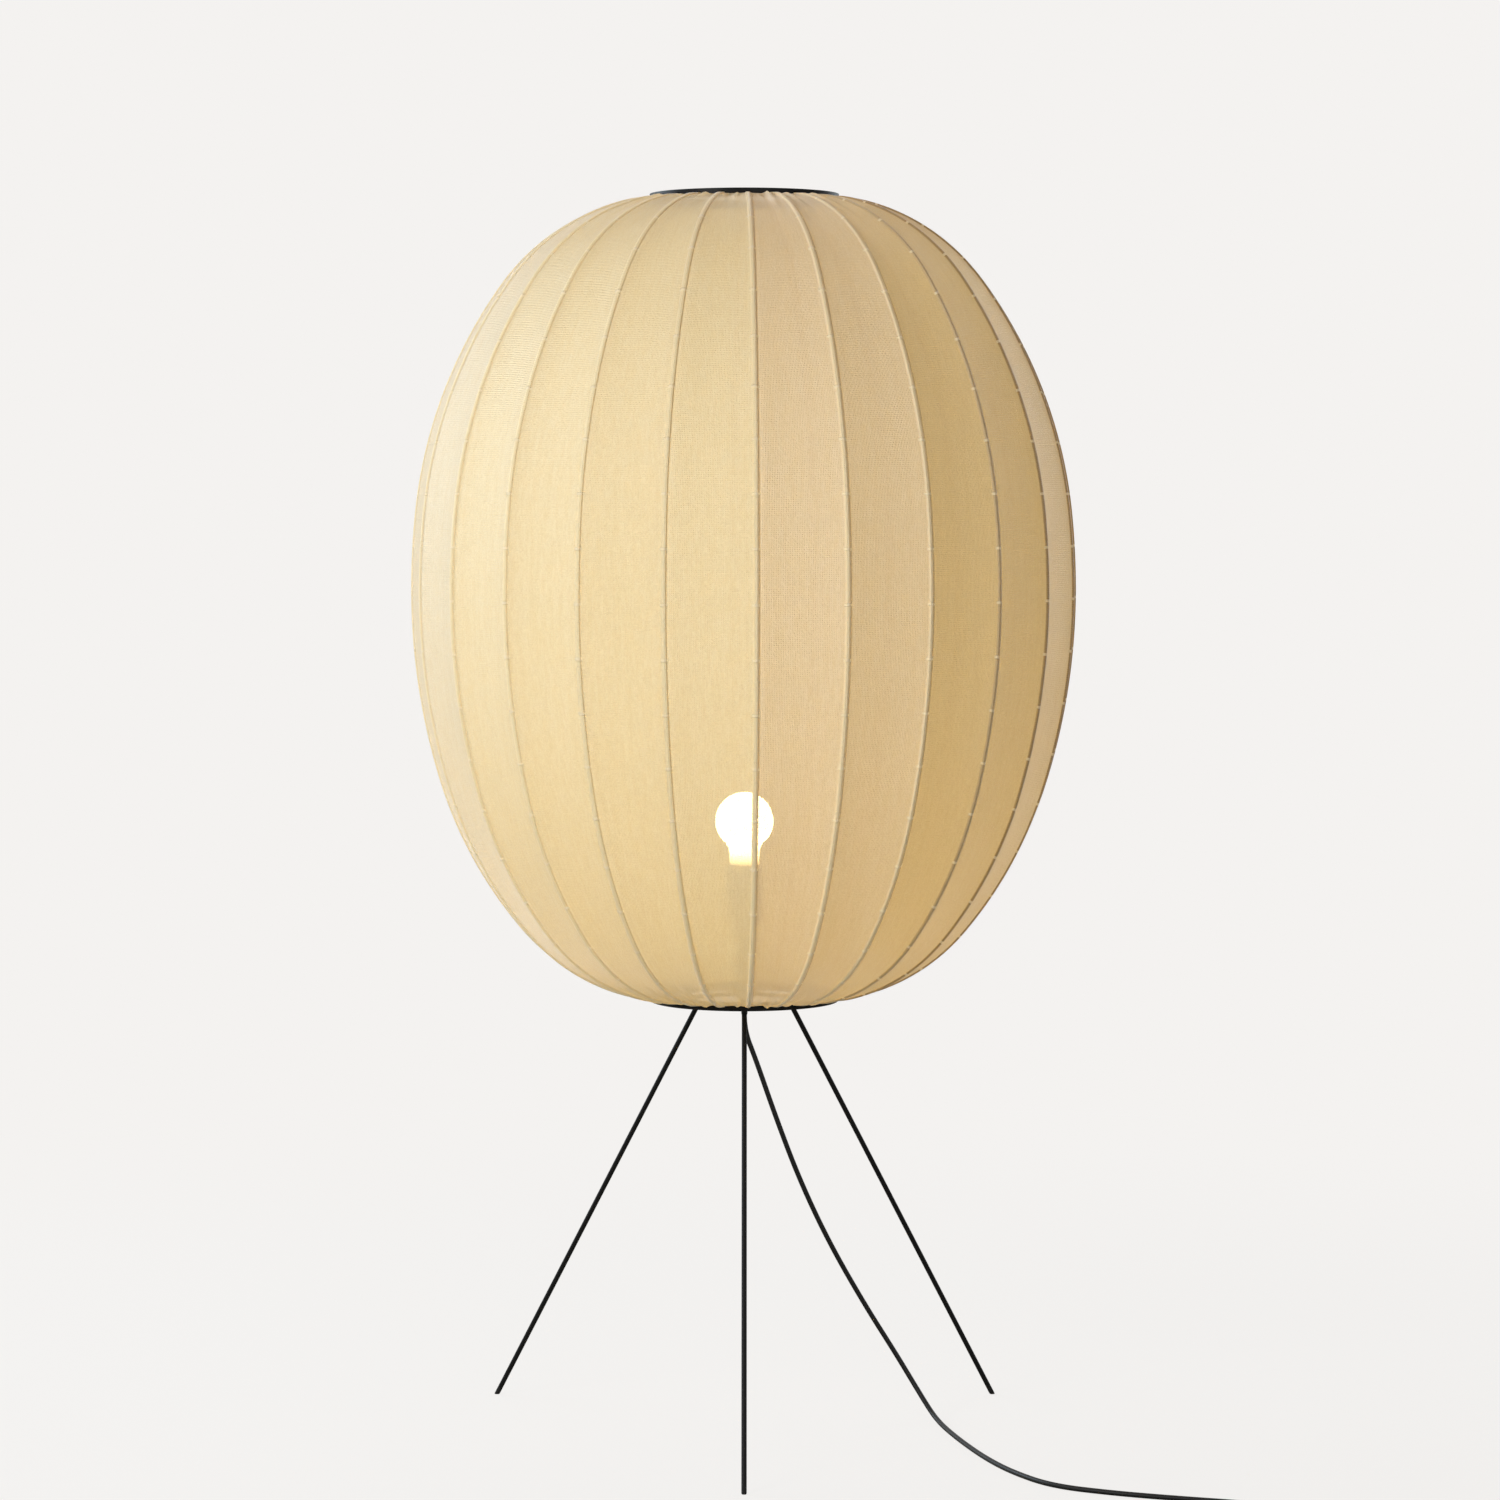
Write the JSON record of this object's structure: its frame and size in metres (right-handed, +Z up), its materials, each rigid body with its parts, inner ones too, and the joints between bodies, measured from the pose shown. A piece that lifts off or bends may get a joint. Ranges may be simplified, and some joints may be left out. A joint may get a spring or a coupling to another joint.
{
  "type": "floor lamp",
  "caption": "Floor lamp: a tall barrel-shaped knitted shade on upright ribs, held low over the floor by three thin splayed rod legs, with a bulb inside.",
  "frame": {"origin": "on the floor, on the lamp's upright axis", "axes": "+Z up along the lamp's axis, -Y towards the front leg and the picture's camera, +X to the right"},
  "size_m": [0.8696, 0.808, 1.209],
  "materials": {
    "knit": "knitted, translucent",
    "rib": "pultruded fibreglass",
    "black_metal": "satin black powder coat",
    "black_plastic": "fine satin",
    "rubber_tip": "matte",
    "white_plastic": "matte",
    "steel": "brushed",
    "brass": "bright",
    "nickel": "bright",
    "opal": "opal white",
    "cord_black": "matte sheath"
  },
  "bodies": {
    "lamp": {"cord": "cord_black", "cord_coil": "cord_black", "cord_end": "cord_black", "cord_tail": "cord_black", "cord_tie": "black_plastic", "holder_carrier": "black_metal", "inner_lead": "cord_black", "knitted_cover": "knit", "lampholder_contact": "brass", "lampholder_cup": "black_plastic", "lampholder_insert": "white_plastic", "leg_front": "black_metal", "leg_left": "black_metal", "leg_right": "black_metal", "leg_tip_front": "rubber_tip", "leg_tip_left": "rubber_tip", "leg_tip_right": "rubber_tip", "lower_ring": "black_metal", "nipple_nut": "steel", "plug_body": "black_plastic", "plug_pins": "nickel", "rib_01": "rib", "rib_02": "rib", "rib_03": "rib", "rib_04": "rib", "rib_05": "rib", "rib_06": "rib", "rib_07": "rib", "rib_08": "rib", "rib_09": "rib", "rib_10": "rib", "rib_11": "rib", "rib_12": "rib", "rib_13": "rib", "rib_14": "rib", "rib_15": "rib", "rib_16": "rib", "rib_17": "rib", "rib_18": "rib", "rib_19": "rib", "rib_20": "rib", "rib_21": "rib", "rib_22": "rib", "rib_23": "rib", "rib_24": "rib", "stem_tube": "black_metal", "strain_relief": "black_plastic", "switch_base": "black_plastic", "switch_block": "white_plastic", "switch_cover": "black_plastic", "switch_screws": "steel", "threaded_nipple": "steel", "upper_ring": "black_metal"},
    "bulb": {"bulb_globe": "opal", "bulb_cap": "nickel", "bulb_contact": "brass"},
    "button": {"switch_button": "black_plastic"}
  },
  "joints": [
    {"name": "bulb_out", "type": "slide", "parent": "lamp", "child": "bulb", "axis": [0, 0, 1], "range_m": [0, 0.035]},
    {"name": "button_press", "type": "slide", "parent": "lamp", "child": "button", "axis": [0, 0, -1], "range_m": [0, 0.0015], "stiffness_N_per_m": 1500, "springref_m": -0.0006}
  ]
}
